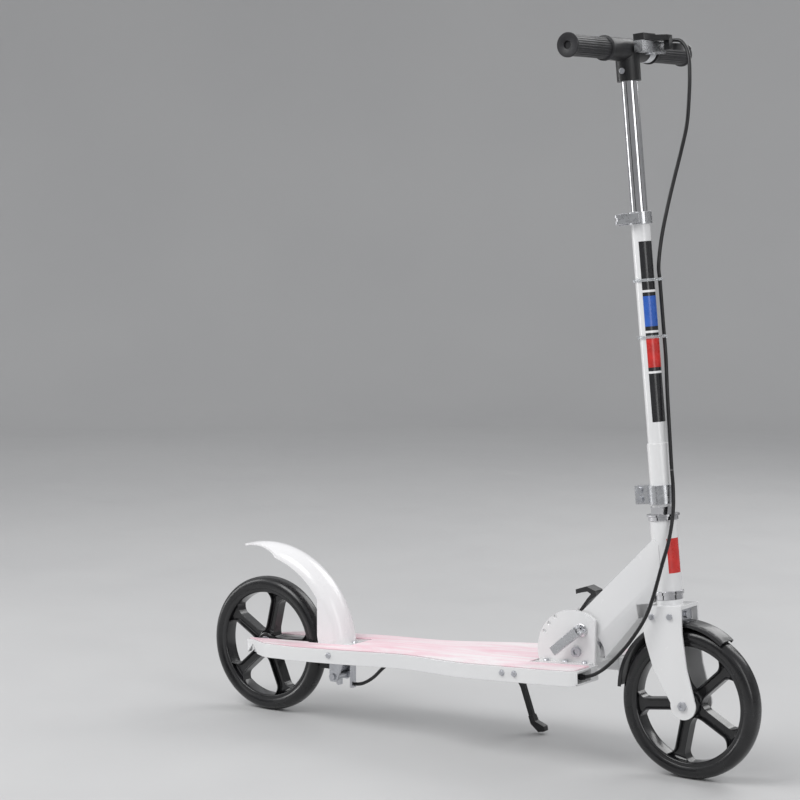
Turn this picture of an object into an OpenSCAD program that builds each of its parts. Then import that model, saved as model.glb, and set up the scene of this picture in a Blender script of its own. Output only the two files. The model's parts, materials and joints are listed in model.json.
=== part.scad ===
// Folding kick scooter with big wheels, a gourd-shaped deck and a height-adjustable stem.
// Frame: millimetres, +X forward, +Y to the rider's left, +Z up.
// Origin: on the ground, midway between the two wheel contacts.

/* [Wheels] */
// Distance between the two axles
wheelbase = 711; // [690:1:730]
// Outer diameter of both tyres
wheel_d = 200; // [196:1:204]
// Width of a tyre
tyre_w = 30; // [28:1:32]
// Width of the flat running tread
tread_w = 16; // [12:1:18]
// Outer diameter of the plastic rim under the tyre
rim_d = 168; // [162:1:170]
// Inner diameter of the rim ring
rim_inner_d = 154; // [148:1:156]
// Diameter of the axle bolts
axle_d = 8; // [8:1:8]
// Turn of the rear wheel's first spoke
rear_spoke_turn = 5; // [0:1:71]
// Turn of the front wheel's first spoke
front_spoke_turn = 43; // [0:1:71]

/* [Steering] */
// Backward lean of the steering axis, in degrees
lean = 5.75; // [5:0.25:6.5]
// How far the front axle sits ahead of the steering axis
fork_offset = 20.6; // [18:0.2:22]
// Outer diameter of the head tube
head_tube_d = 36.5; // [36:0.5:38]
// Outer diameter of the steerer sleeve
sleeve_d = 28.6; // [28.6:0.1:28.6]
// Outer diameter of the white stem tube
stem_d = 25.4; // [25.4:0.1:25.4]
// Outer diameter of the chrome inner tube
inner_d = 22.2; // [22.2:0.1:22.2]

/* [Handlebar] */
// Height of the bar's axis above the axle, measured along the steering axis
bar_station = 864; // [850:1:875]
// Length of the whole handlebar over the grips
bar_length = 298; // [280:2:320]
// Outer diameter of a grip
grip_d = 28; // [26:1:30]

/* [Deck] */
// Height of the deck's metal top above the ground at the rear axle
deck_height = 109; // [108:0.5:110]
// Rise of the deck towards the front, in degrees
deck_slope = 3.1; // [3:0.05:3.2]
// Length of the deck ahead of the rear axle
deck_front = 585; // [580:1:588]
// Depth of the deck's folded skirt
skirt_depth = 20; // [18:1:22]
// Thickness of the deck's sheet metal
sheet = 2.5; // [2:0.1:3]
// Thickness of the grip mat
mat_t = 1.6; // [1.2:0.1:2]

/* [Folding joint] */
// Distance of the fold pivot ahead of the rear axle
pivot_ahead = 554; // [552:0.5:556]
// Height of the fold pivot above the ground
pivot_height = 156; // [155.5:0.25:156.5]
// Angle of the neck beam above the horizontal, in degrees
beam_angle = 45.5; // [45:0.25:46]
// Largest fold, in degrees
fold_travel = 83; // [78:1:83]

/* [Hidden] */
$fn = 64;
e = 0.01;

wheel_r = wheel_d / 2;
rear_x = -wheelbase / 2;
front_x = wheelbase / 2;
stem_foot_x = front_x - fork_offset * cos(lean);
stem_foot_z = wheel_r - fork_offset * sin(lean);
pivot_x = rear_x + pivot_ahead;
slip = 0.05;
white = [0.95, 0.95, 0.96];
black = [0.12, 0.12, 0.13];
steel = [0.72, 0.73, 0.75];

// Stations along the steering axis, counted from the foot of the front axle on it
crown_top = 132;
crown_collar_top = 138.7;
head_low = 150;
head_high = 244;
clamp_low = 265.5;
clamp_high = 290.5;
sleeve_top = 346;
stem_low = 300;
stem_top = 651;
upper_clamp_mid = 643;
inner_low = 555;
socket_low = 823;
inner_top = 850;

// Half width inside the fork and the rear yoke, and the thickness of their plates
gap_half = 21;
plate_t = 3;
hub_half = 13;

// Neck beam edges, as distances from the line through the pivot along the beam
beam_up = 36;
beam_ridge = -2.5;
beam_down = -33;
beam_half = 28;
plate_in = 29.4;
plate_out = 33.4;
skewer_turn = 76;
skewer_reach = 31;
skewer_r = 3;
// Room past the skewer at each end of its arc slot, in degrees
slot_end = 7;
lever_tilt = 41;

// ---------- frames ----------
// Steering frame: local X forward, local Z up the steering axis
module stem_frame() translate([stem_foot_x, 0, stem_foot_z]) rotate([0, -lean, 0]) children();
// Deck frame: local X along the deck from the rear axle, local Z up from its metal top
module deck_frame() translate([rear_x, 0, deck_height]) rotate([0, -deck_slope, 0]) children();
// Pivot frame: parallel to the ground, with its origin on the fold pivot
module pivot_frame() translate([pivot_x, 0, pivot_height]) children();
// Beam frame: local X up along the neck beam, local Z square to it, upwards and back
module beam_frame() pivot_frame() rotate([0, -beam_angle, 0]) children();
module rear_axle_frame() translate([rear_x, 0, wheel_r]) children();
module front_axle_frame() translate([front_x, 0, wheel_r]) children();

// ---------- shared shapes ----------
// Rod along Y from y0 to y1
module rod_y(r, y0, y1) translate([0, y0, 0]) rotate([-90, 0, 0]) cylinder(r = r, h = y1 - y0);
module tube_y(r, ri, y0, y1) difference() {
    rod_y(r, y0, y1);
    rod_y(ri, y0 - 1, y1 + 1);
}
// Tube along Z from z0 to z1
module tube_z(r, ri, z0, z1) translate([0, 0, z0]) difference() {
    cylinder(r = r, h = z1 - z0);
    translate([0, 0, -1]) cylinder(r = ri, h = z1 - z0 + 2);
}
// Plate in the XZ plane between y0 and y1
module plate_y(y0, y1) translate([0, y1, 0]) rotate([90, 0, 0]) linear_extrude(y1 - y0) children();
module hex_y(r, y0, y1) translate([0, y0, 0]) rotate([-90, 0, 0]) cylinder(r = r, h = y1 - y0, $fn = 6);
module both_sides() for (side = [-1, 1]) scale_y(side) children();
module scale_y(side) mirror([0, side < 0 ? 1 : 0, 0]) children();
// Button-headed screw pointing down its own -Z axis, with its head standing on z = 0
module screw(r, head_r, length) {
    translate([0, 0, -length]) cylinder(r = r, h = length + e, $fn = 24);
    cylinder(r1 = head_r, r2 = head_r * 0.7, h = head_r * 0.6, $fn = 24);
}

// Smooth step between two values
function ease(t) = (1 - cos(180 * t)) / 2;
function seg(k, x, i = 0) = i >= len(k) - 2 || x < k[i + 1][0] ? i : seg(k, x, i + 1);
function along(k, x) = let (i = seg(k, x))
    k[i][1] + (k[i + 1][1] - k[i][1]) * ease((x - k[i][0]) / (k[i + 1][0] - k[i][0]));

// Tube swept along a list of points, closed at both ends
function unit(v) = v / norm(v);
function tangent(p, i) = unit(p[min(i + 1, len(p) - 1)] - p[max(i - 1, 0)]);
function side_of(t) = unit(cross(abs(t[1]) > 0.9 ? [1, 0, 0] : [0, 1, 0], t));
function ring(c, t, r, n) = let (u = side_of(t), v = cross(t, u))
    [for (k = [0:n - 1]) c + r * (cos(360 * k / n) * u + sin(360 * k / n) * v)];
module sweep(p, r, n = 8) {
    m = len(p);
    pts = [for (i = [0:m - 1]) for (q = ring(p[i], tangent(p, i), r, n)) q];
    sides = [for (i = [0:m - 2]) for (k = [0:n - 1])
        [i * n + k, i * n + (k + 1) % n, (i + 1) * n + (k + 1) % n, (i + 1) * n + k]];
    caps = [[for (k = [n - 1:-1:0]) k], [for (k = [0:n - 1]) (m - 1) * n + k]];
    polyhedron(points = pts, faces = concat([for (f = sides) [f[3], f[2], f[1], f[0]]],
        [for (f = caps) [for (k = [len(f) - 1:-1:0]) f[k]]]));
}
// Points of a smooth curve through the given ones, with n steps in each span
function knot(p, i) = p[max(0, min(len(p) - 1, i))];
function spline(p, n) = [for (i = [0:len(p) - 2]) for (k = [0:n - 1])
    let (t = k / n, a = knot(p, i - 1), b = p[i], c = p[i + 1], d = knot(p, i + 2))
    0.5 * (2 * b + (c - a) * t + (2 * a - 5 * b + 4 * c - d) * t * t
        + (3 * b - a - 3 * c + d) * t * t * t), p[len(p) - 1]];

// ---------- wheels ----------
tread_half = tread_w / 2;
// Point of the tyre's rounded shoulder: a is 0 on the sidewall and 90 on the tread
function shoulder(a) = [wheel_r - 8 + 8 * sin(a), tread_half + (tyre_w / 2 - tread_half) * cos(a)];
module tyre() color(black) rotate([90, 0, 0]) rotate_extrude($fn = 96) polygon(concat(
    [[rim_d / 2, tyre_w / 2]], [for (a = [0:18:90]) shoulder(a)],
    [for (a = [90:-18:0]) [shoulder(a)[0], -shoulder(a)[1]]], [[rim_d / 2, -tyre_w / 2]]));

spoke_end = rim_inner_d / 2 + 2;
module rim(turn) color(black) rotate([90, turn, 0]) difference() {
    union() {
        tube_z(rim_d / 2 - 0.02, rim_inner_d / 2, -12, 12);
        cylinder(r = 18, h = 2 * hub_half, center = true);
        for (k = [0:4]) rotate(72 * k) translate([0, 0, -9]) linear_extrude(18)
            polygon([[15, -7], [45, -8], [spoke_end, -14], [spoke_end, 14], [45, 8], [15, 7]]);
    }
    cylinder(r = 6, h = 60, center = true);
    for (s = [-1, 1]) translate([0, 0, s * hub_half]) cylinder(r = 11, h = 14, center = true);
}

module bearings() color(steel) both_sides() tube_y(10.98, axle_d / 2 + slip, hub_half - 7, hub_half);

// Axle bolt from its head to its nut, through plates whose outer faces lie at out
module axle_bolt(out) color(steel) {
    rod_y(axle_d / 2, -out - e, out + 5.5);
    difference() {
        hex_y(6.5, -out - 4, -out);
        translate([0, -out - 2, 0]) hex_y(3, -3, 0);
    }
    difference() {
        hex_y(7, out, out + 4.5);
        rod_y(axle_d / 2 + 0.02, out - 1, out + 7);
    }
}
module axle_spacers() color(steel) both_sides() tube_y(6.5, axle_d / 2 + 0.1, hub_half + 0.3, gap_half);

module rear_tyre() rear_axle_frame() tyre();
module rear_rim() rear_axle_frame() rim(-rear_spoke_turn);
module rear_bearings() rear_axle_frame() bearings();
module rear_axle_bolt() rear_axle_frame() axle_bolt(gap_half + plate_t);
module rear_axle_spacers() rear_axle_frame() axle_spacers();
module front_tyre() front_axle_frame() tyre();
module front_rim() front_axle_frame() rim(-front_spoke_turn);
module front_bearings() front_axle_frame() bearings();
module front_axle_bolt() front_axle_frame() axle_bolt(gap_half + plate_t);
module front_axle_spacers() front_axle_frame() axle_spacers();

// ---------- deck ----------
deck_rear = -22;
corner_r = 12;
// Half width of the deck along its length: arms, rear bulge, waist and wide front
deck_widths = [[deck_rear, 29], [45, 59], [95, 65], [165, 66], [265, 61], [430, 88], [545, 90],
    [deck_front, 88]];
module deck_outline(inset) {
    x0 = deck_rear + inset;
    x1 = deck_front - inset;
    r = corner_r - inset;
    side = concat(
        [for (k = [0:36]) let (x = x0 + (x1 - r - x0) * k / 36) [x, along(deck_widths, x) - inset]],
        [for (a = [75:-15:0]) [x1 - r + r * cos(a), along(deck_widths, x1 - r) - inset - r + r * sin(a)]]);
    polygon(concat(side, [for (k = [len(side) - 1:-1:0]) [side[k][0], -side[k][1]]]));
}
slot_half = 20.5;
slot_front = 112;
port_in = 46;
port_out = 82;

module deck_plate() color(white) deck_frame() difference() {
    translate([0, 0, -skirt_depth]) linear_extrude(skirt_depth) deck_outline(0);
    translate([0, 0, -skirt_depth - 1]) linear_extrude(skirt_depth + 1 - sheet) deck_outline(sheet);
    translate([deck_rear - 5, -slot_half, -40]) cube([slot_front - deck_rear + 5, 2 * slot_half, 60]);
    both_sides() translate([deck_front - 20, port_in, -skirt_depth + 2])
        cube([30, port_out - port_in, skirt_depth - sheet - 2]);
    // Recess between the cheek plates at the front
    translate([547, -28, -60]) cube([60, 56, 90]);
    // The arms' lower rear corners slope forward
    translate([deck_rear - 1, -60, -skirt_depth - 1]) rotate([0, 45, 0]) cube([20, 120, 20]);
}

module grip_mat() color([0.97, 0.85, 0.88]) deck_frame() difference() {
    linear_extrude(mat_t) deck_outline(3);
    translate([deck_rear - 5, -slot_half - 3, -1])
        cube([slot_front - deck_rear + 8, 2 * slot_half + 6, 9]);
    translate([90, -29, -1]) cube([80, 58, 9]);
    translate([486, -46, -1]) cube([120, 92, 9]);
}

// U-shaped plate that carries the rear axle between the deck's arms
module rear_yoke() color(white) difference() {
    deck_frame() difference() {
        translate([-13, -gap_half - plate_t, -skirt_depth])
            cube([slot_front + 18, 2 * (gap_half + plate_t), skirt_depth - sheet]);
        translate([-14, -gap_half, -skirt_depth - 1]) cube([slot_front + 16, 2 * gap_half, skirt_depth + 2]);
    }
    rear_axle_frame() rod_y(axle_d / 2 + 0.1, -40, 40);
}

// Rectangular rails that stiffen the deck's front and take the cable
module front_ports() color(white) deck_frame() intersection() {
    both_sides() translate([deck_front - sheet - 62, port_in - 2, -skirt_depth]) difference() {
        cube([62, port_out - port_in + 4, skirt_depth - sheet]);
        translate([-1, 2, 2]) cube([64, port_out - port_in, skirt_depth - sheet - 4]);
    }
    translate([0, 0, -skirt_depth]) linear_extrude(skirt_depth) deck_outline(sheet + 0.02);
}

// Screws of the cheek plates' feet, from the fold pivot
plate_screws = [-44, -14, 16];
// Cheek plates on the deck: the neck turns between them
module bracket_plates() color(white) difference() {
    union() {
        both_sides() pivot_frame() plate_y(plate_in, plate_out) intersection() {
            translate([-5, -1]) circle(r = 57, $fn = 96);
            translate([-70, -60]) square([98, 120]);
        }
        deck_frame() both_sides() translate([pivot_ahead - 56, plate_out - 2, 0]) cube([82, 12, 3]);
    }
    deck_frame() translate([300, -100, -60]) cube([400, 200, 60]);
    pivot_frame() {
        rod_y(5.1, -60, 60);
        // Detent notches in the rim
        for (a = [128, 142, 156]) rotate([0, -a, 0]) translate([56, 0, 0]) rod_y(3, -60, 60);
    }
    skewer_frame() rod_y(skewer_r + 0.1, -60, 60);
    deck_frame() both_sides() for (x = plate_screws)
        translate([pivot_ahead + x, plate_out + 5, -1]) cylinder(r = 2.6, h = 9);
}

module fold_pivot_bolt() pivot_frame() color(steel) {
    rod_y(5, -plate_out - e, plate_out + 8);
    difference() {
        rod_y(7, -plate_out - 4, -plate_out);
        translate([0, -plate_out - 2, 0]) hex_y(4, -3, 0);
    }
    difference() {
        hex_y(9, plate_out, plate_out + 6);
        rod_y(5.02, plate_out - 1, plate_out + 7);
    }
}

// ---------- rear fender ----------
fender_r = 152.5;
fender_half = 24.5;
fender_t = 2.5;
function fender_arc(r, w, n) = [for (k = [0:n]) [134 + (r - 134) * sin(180 * k / n), w * cos(180 * k / n)]];
module rear_fender() color(white) difference() {
    rear_axle_frame() rotate([90, 0, 0]) rotate_extrude(angle = 107, $fn = 120) difference() {
        polygon(concat([[109, fender_half]], fender_arc(fender_r, fender_half, 16), [[109, -fender_half]]));
        polygon(concat([[105, fender_half - fender_t]],
            fender_arc(fender_r - fender_t, fender_half - fender_t, 16), [[105, fender_t - fender_half]]));
    }
    // The skirts' lower edge rises away from the tyre
    rear_axle_frame() intersection() {
        translate([-4, 0, 2]) rod_y(134.5, -60, 60);
        translate([-200, -60, -200]) cube([306, 120, 400]);
    }
    // The tail narrows to a point
    rear_axle_frame() both_sides() translate([0, 0, 60]) linear_extrude(120)
        polygon([[40, fender_half + 1], [-52, 3.5], [-52, 40], [40, 40]]);
    deck_frame() translate([0, -60, -60]) cube([300, 120, 60]);
}

screw_lift = 0.12;
// Screws of the deck: skirt sides, cheek plates and the fender's foot
module deck_screws() color(steel) {
    deck_frame() {
        both_sides() for (x = plate_screws)
            translate([pivot_ahead + x, plate_out + 5, 3]) screw(2.5, 4.5, 2.9);
        both_sides() for (x = [158, 470, 490])
            translate([x, along(deck_widths, x) + screw_lift, -8]) rotate([-90, 0, 0]) screw(1.5, 4.5, 0);
        translate([157, 0, 0]) cylinder(r1 = 4.5, r2 = 3, h = 2.6, $fn = 24);
    }
}

// ---------- rear brake ----------
brake_x = rear_x + 128;
brake_z = 66;
pin_r = 3;
pin_hole = pin_r + slip;
// Front face of the pad and its lower and upper edges, from the brake's pivot
pad_face = -10;
pad_low = 10;
pad_high = 28;
module brake_frame() translate([brake_x, 0, brake_z]) children();
module brake_bracket() color(steel) difference() {
    brake_frame() {
        both_sides() plate_y(13, 16)
            polygon([[-6, 50], [27, 50], [26, 40], [8, -4], [4, -7], [-4, -7], [-6, -4]]);
        translate([-6, -13, 44]) cube([33, 26, 8]);
        // Stop for the cable's jacket
        difference() {
            translate([23, -5, -15]) cube([4, 10, 60]);
            translate([0, 0, -10]) rotate([0, 90, 0]) cylinder(r = 1.3, h = 40, $fn = 24);
        }
        rod_y(pin_r, -18, 18);
        both_sides() rod_y(5, 16, 18.5);
    }
    deck_frame() translate([0, -40, -sheet]) cube([300, 80, 60]);
}
module brake_arm() color(steel) difference() {
    brake_frame() union() {
        rod_y(5.5, -12.6, 12.6);
        plate_y(-9, 9) polygon([[pad_face, pad_high], [-6, pad_high], [-3, 5], [-3, -3], [-5, -2],
            [pad_face, pad_low - 2]]);
        plate_y(-3, 3) polygon([[-4, 0], [4, 0], [4, -13], [0, -14.5], [-3, -12]]);
    }
    brake_frame() rod_y(pin_hole, -30, 30);
}
module brake_pad() color(black) difference() {
    brake_frame() translate([-36, -11, pad_low]) cube([36 + pad_face, 22, pad_high - pad_low]);
    rear_axle_frame() rod_y(wheel_r + 1.8, -30, 30);
}

// ---------- kickstand ----------
stand_ahead = 378;
stand_x = rear_x + stand_ahead;
stand_y = 91;
stand_z = 98;
splay = 3;
stand_lean = 18;
leg_len = 88;
stand_face = 88.5;
module stand_frame() translate([stand_x, stand_y, stand_z]) rotate([splay, 0, 0]) children();
// Block on the left skirt with an ear below it for the leg's pin
module kickstand_bracket() color(black) difference() {
    union() {
        deck_frame() translate([stand_ahead - 22, 60, -19]) cube([44, stand_face - 60, 15]);
        stand_frame() plate_y(-9, -3.5) union() {
            circle(r = 9);
            translate([-9, 0]) square([18, 16]);
        }
    }
    deck_frame() translate([0, 0, -30]) linear_extrude(40) deck_outline(-0.05);
    stand_frame() rod_y(3.05, -30, 30);
}
module kickstand_bolts() color(steel) {
    deck_frame() for (x = [-15, 13]) translate([stand_ahead + x, stand_face, -11])
        rotate([-90, 0, 0]) screw(2.5, 4.5, 0);
    stand_frame() {
        rod_y(3, -11, 5);
        rod_y(5.5, -12.5, -9.05);
    }
}
module kickstand_leg() color(black) difference() {
    stand_frame() rotate([0, -stand_lean, 0]) {
        plate_y(-3, 4) union() {
            circle(r = 8);
            polygon([[-8, 0], [8, 0], [12, -10], [11, -17], [3.8, -32], [3.8, 10 - leg_len],
                [-3.8, 10 - leg_len], [-3.8, -34], [-8, -14]]);
        }
        plate_y(-4.5, 6.5) polygon([[-3.8, 12 - leg_len], [3.8, 12 - leg_len], [5, 2 - leg_len],
            [17, -leg_len - 8], [16, -leg_len - 15], [5, -leg_len - 14], [-3.8, -leg_len]]);
    }
    stand_frame() rod_y(3.05, -30, 30);
    translate([0, 0, -50]) cube([2000, 2000, 100], center = true);
}

// ---------- neck ----------
module beam_section(up, ridge, down, wide, narrow, at) translate([at, 0, 0]) rotate([90, 0, 90])
    linear_extrude(e)
        polygon([[-wide, up], [wide, up], [wide, ridge], [narrow, down], [-narrow, down], [-wide, ridge]]);
// Rounded heel of the beam, which turns just above the deck
beam_heel = [for (a = [208:12.4:270]) 16 * [cos(a), sin(a)]];
module neck_beam() color(white) difference() {
    union() {
        intersection() {
            beam_frame() hull() {
                beam_section(beam_up, beam_ridge, beam_down, beam_half, 18, -30);
                beam_section(beam_up, beam_ridge, beam_down + 16, 19, 12, 190);
            }
            pivot_frame() plate_y(-40, 40)
                polygon(concat(beam_heel, [[33, -12.5], [70, 22], [84, 44], [83, 70.7], [105.6, 74],
                    [121, 97], [113, 175], [-14, 60]]));
        }
        // Ears for the latch handle
        beam_frame() both_sides() translate([16, 10.5, beam_up - 1]) cube([7, 3, 10]);
    }
    intersection() {
        beam_frame() hull() {
            beam_section(beam_up - 3, beam_ridge, beam_down + 3, beam_half - 3, 15, -60);
            beam_section(beam_up - 3, beam_ridge, beam_down + 19, 16, 9, 190);
        }
        pivot_frame() translate([-60, -50, -60]) cube([136, 100, 170]);
    }
    stem_frame() {
        cylinder(r = head_tube_d / 2, h = 400);
        cylinder(r = 20.5, h = head_low + 0.3);
    }
    pivot_frame() rod_y(5 + slip, -60, 60);
    // Arc slots for the clamp's skewer
    pivot_frame() translate([0, 60, 0]) rotate([90, 0, 0]) rotate(skewer_turn - fold_travel - slot_end)
        rotate_extrude(angle = fold_travel + 2 * slot_end)
            translate([skewer_reach - skewer_r - 0.6, 0]) square([2 * skewer_r + 1.2, 120]);
    beam_frame() translate([19.5, 0, 41]) rod_y(2.02, -20, 20);
}
module head_tube() color(white) stem_frame() tube_z(head_tube_d / 2, 15.5, head_low, head_high);
module headset_cups() color(steel) stem_frame() {
    tube_z(20, sleeve_d / 2 + 0.3, head_low - 4.7, head_low);
    tube_z(15.45, sleeve_d / 2 + 0.3, head_low, head_low + 9);
    tube_z(20, sleeve_d / 2 + 0.3, head_high, head_high + 5);
    tube_z(15.45, sleeve_d / 2 + 0.3, head_high - 9, head_high);
}
module head_sticker() color([0.85, 0.12, 0.1]) stem_frame() translate([0, 0, 174]) rotate(-55)
    rotate_extrude(angle = 62) translate([head_tube_d / 2, 0]) square([0.2, 46]);

// Cam lever: hinge along local Z, blade along -X, rod along +Y
module cam_lever(length) difference() {
    union() {
        for (s = [-1, 1]) translate([0, 0, s * 4.3]) cylinder(r = 6.5, h = 4, center = true);
        difference() {
            translate([0, 0, -6.3]) linear_extrude(12.6)
                polygon([[0, -6.5], [-length, -9], [-length - 2, -5], [-length * 0.6, -2.5], [0, 3]]);
            cylinder(r = 5.2, h = 4.6, center = true);
        }
    }
    cylinder(r = 2 + slip, h = 30, center = true);
    translate([0, 0, -2.3]) cube([9, 9, 4.6]);
}
// Its rod, with an eye and a cross pin at the lever and a nut at the far end
module cam_rod(length, washer_y) {
    difference() {
        union() {
            cylinder(r = 4.5, h = 4.2, center = true);
            rod_y(2, 3, 8);
            rod_y(skewer_r, 7.5, length);
        }
        cylinder(r = 2, h = 30, center = true);
    }
    cylinder(r = 2, h = 13.6, center = true);
    difference() {
        hex_y(6.5, length - 5, length);
        rod_y(skewer_r + 0.02, length - 9, length + 9);
    }
    tube_y(7.5, skewer_r + 0.1, washer_y, washer_y + 1);
}
cam_y = -44;
module skewer_frame() pivot_frame() rotate([0, -skewer_turn, 0]) translate([skewer_reach, 0, 0])
    rotate([0, skewer_turn - lever_tilt, 0]) children();
module fold_skewer() color(steel) skewer_frame() translate([0, cam_y, 0]) cam_rod(44 + 45, 8.2);
module fold_lever() color(steel) skewer_frame() translate([0, cam_y, 0]) cam_lever(46);
module latch_pin() color(steel) beam_frame() translate([19.5, 0, 41]) rod_y(2, -15, 15);
module latch_handle() color(black) beam_frame() difference() {
    plate_y(-10, 10) union() {
        translate([19.5, 41]) circle(r = 3.8, $fn = 48);
        polygon([[19, 38], [50, 43.5], [64, 41], [67, 47], [61, 60], [45, 68], [41, 63], [44, 62], [57, 54],
            [59, 48], [50, 47.5], [19, 43]]);
    }
    translate([19.5, 0, 41]) rod_y(2 + slip, -20, 20);
}

// ---------- fork ----------
module leg_outline() union() {
    translate([fork_offset, 0]) circle(r = 18.5, $fn = 96);
    polygon([[-12, crown_top], [29, crown_top], [27.5, 95], [30, 50], [38, 8], [30, -5], [6, -8], [2, 5],
        [-10, 29], [-20, 50], [-28, 84], [-30, 100], [-26, 121]]);
}
crown_bolt_n = [-15.5, 11.5];
crown_bolt_s = 118;
module fork_legs() color(white) stem_frame() both_sides() difference() {
    plate_y(gap_half, gap_half + plate_t) leg_outline();
    translate([fork_offset, 0, 0]) rod_y(axle_d / 2 + 0.1, 0, 60);
    for (n = crown_bolt_n) translate([n, 0, crown_bolt_s]) rod_y(3.1, 0, 60);
}
module fork_crown() color(white) stem_frame() difference() {
    union() {
        translate([-22, -gap_half, crown_top - 5]) cube([51, 2 * gap_half, 5]);
        both_sides() translate([-21, gap_half - 3, 100]) cube([41, 3, crown_top - 100 - 4]);
        tube_z(18, sleeve_d / 2 + 0.02, crown_top - e, crown_collar_top);
    }
    for (n = crown_bolt_n) translate([n, 0, crown_bolt_s]) rod_y(3.1, -60, 60);
}
module crown_bolts() color(steel) stem_frame() both_sides() for (n = crown_bolt_n)
    translate([n, 0, crown_bolt_s]) {
        rod_y(3, gap_half - 3, gap_half + plate_t + e);
        rod_y(4, gap_half + plate_t, gap_half + plate_t + 3);
    }
// Mudguard: its arc is centred behind and above the axle, so it closes on the tyre in front
guard_r = 98.5;
guard_n = fork_offset - 5.8;
guard_s = 12.6;
module front_mudguard() color(black) stem_frame() translate([guard_n, 0, guard_s]) rotate([90, 0, 0])
    rotate(46) rotate_extrude(angle = 128, $fn = 120) difference() {
        polygon([[guard_r - 7, 16.4], [guard_r - 2, 16.4], [guard_r, 10], [guard_r, -10],
            [guard_r - 2, -16.4], [guard_r - 7, -16.4]]);
        polygon([[guard_r - 9, 14.9], [guard_r - 3.4, 14.9], [guard_r - 1.8, 9], [guard_r - 1.8, -9],
            [guard_r - 3.4, -14.9], [guard_r - 9, -14.9]]);
    }
module mudguard_bracket() color(steel) stem_frame() difference() {
    union() {
        translate([20, -16, 105]) cube([2.5, 32, crown_top - 5 - 105]);
        translate([22.5, 0, crown_bolt_s]) rotate([0, 90, 0]) cylinder(r = 4.5, h = 3);
    }
    translate([guard_n, 0, guard_s]) rod_y(guard_r + 0.1, -60, 60);
}
module steerer_sleeve() color(white) stem_frame()
    tube_z(sleeve_d / 2, stem_d / 2 + 0.1, crown_top, sleeve_top);
module headset_nuts() color(steel) stem_frame() {
    tube_z(18.5, sleeve_d / 2 + 0.02, crown_collar_top + 0.3, head_low - 5);
    tube_z(22, sleeve_d / 2 + 0.02, head_high + 5.3, head_high + 8);
    difference() {
        translate([0, 0, head_high + 8]) cylinder(r = 18, h = 10, $fn = 6);
        cylinder(r = sleeve_d / 2 + 0.02, h = 400);
    }
}
// Split collar with two ears towards the rear
module collar(r, ri, z0, z1, reach, ear_half) difference() {
    union() {
        translate([0, 0, z0]) cylinder(r = r, h = z1 - z0);
        translate([-reach, -ear_half, z0]) cube([reach, 2 * ear_half, z1 - z0]);
    }
    translate([0, 0, z0 - 1]) cylinder(r = ri, h = z1 - z0 + 2);
    translate([-reach - 1, -1, z0 - 1]) cube([reach, 2, z1 - z0 + 2]);
}
clamp_bolt_n = -29;
module lower_clamp() color(steel) stem_frame() difference() {
    collar(17.5, sleeve_d / 2 + 0.02, clamp_low, clamp_high, 37, 6);
    for (z = [clamp_low + 6.5, clamp_high - 6.5]) translate([clamp_bolt_n, 0, z]) rod_y(2.6, -40, 40);
}
module clamp_bolts() color(steel) stem_frame() for (z = [clamp_low + 6.5, clamp_high - 6.5])
    translate([clamp_bolt_n, 0, z]) {
        rod_y(2.5, -6 - e, 10);
        rod_y(4.5, -9, -6);
        difference() {
            hex_y(4.5, 6, 9);
            rod_y(2.52, 4, 12);
        }
    }
module stem_tube() color(white) stem_frame() tube_z(stem_d / 2, inner_d / 2 + 0.08, stem_low, stem_top);
module stem_decal() color([0.1, 0.1, 0.12]) stem_frame() translate([0, 0, 382]) rotate(-95)
    rotate_extrude(angle = 105) translate([stem_d / 2, 0]) square([0.2, 231]);
cam_n = -22;
module upper_clamp() color(steel) stem_frame() difference() {
    collar(16, stem_d / 2 + 0.02, upper_clamp_mid - 8, stem_top, 29, 6.5);
    translate([cam_n, 0, upper_clamp_mid]) rod_y(skewer_r + 0.1, -40, 40);
}
module height_frame() stem_frame() translate([cam_n, -15, upper_clamp_mid]) children();
module height_skewer() color(steel) height_frame() cam_rod(15 + 12, 7.3);
module height_lever() color(steel) height_frame() mirror([1, 0, 0]) cam_lever(34);

tie_stations = [561, 486];
cable_n = 18;
cable_y = 8;
module cable_tie() difference() {
    union() {
        cylinder(r = stem_d / 2 + 1.6, h = 4);
        translate([cable_n, cable_y, 0]) cylinder(r = 4.2, h = 4);
        translate([-20, 3, 0]) cube([12, 3, 4]);
    }
    translate([0, 0, -1]) cylinder(r = stem_d / 2 + 0.22, h = 6);
    translate([cable_n, cable_y, -1]) cylinder(r = 2.7, h = 6);
}
module cable_ties() color([0.9, 0.92, 0.94]) stem_frame() for (z = tie_stations)
    translate([0, 0, z - 2]) cable_tie();

// ---------- handlebar ----------
bar_half = bar_length / 2;
module bar_frame() stem_frame() translate([0, 0, bar_station]) children();
module inner_tube() color(steel) stem_frame() tube_z(inner_d / 2, inner_d / 2 - 1.5, inner_low, inner_top);
module t_head() color(black) difference() {
    union() {
        stem_frame() translate([0, 0, socket_low]) cylinder(r = 16, h = bar_station - socket_low);
        bar_frame() rod_y(15.2, -54, 35);
    }
    stem_frame() translate([0, 0, socket_low - 1])
        cylinder(r = inner_d / 2 + 0.02, h = inner_top - socket_low + 1);
    bar_frame() rod_y(inner_d / 2 + 0.02, -60, 60);
    stem_frame() translate([0, 0, 836]) rod_y(3.1, -40, 40);
}
module head_bolt() color(steel) stem_frame() translate([0, 0, 836]) {
    both_sides() rod_y(3, inner_d / 2 + 0.3, 16);
    both_sides() rod_y(4, 16.02, 18);
}
module handlebar_tube() color(steel) bar_frame()
    tube_y(inner_d / 2, inner_d / 2 - 1.5, 3.5 - bar_half, bar_half - 3.5);
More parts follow.
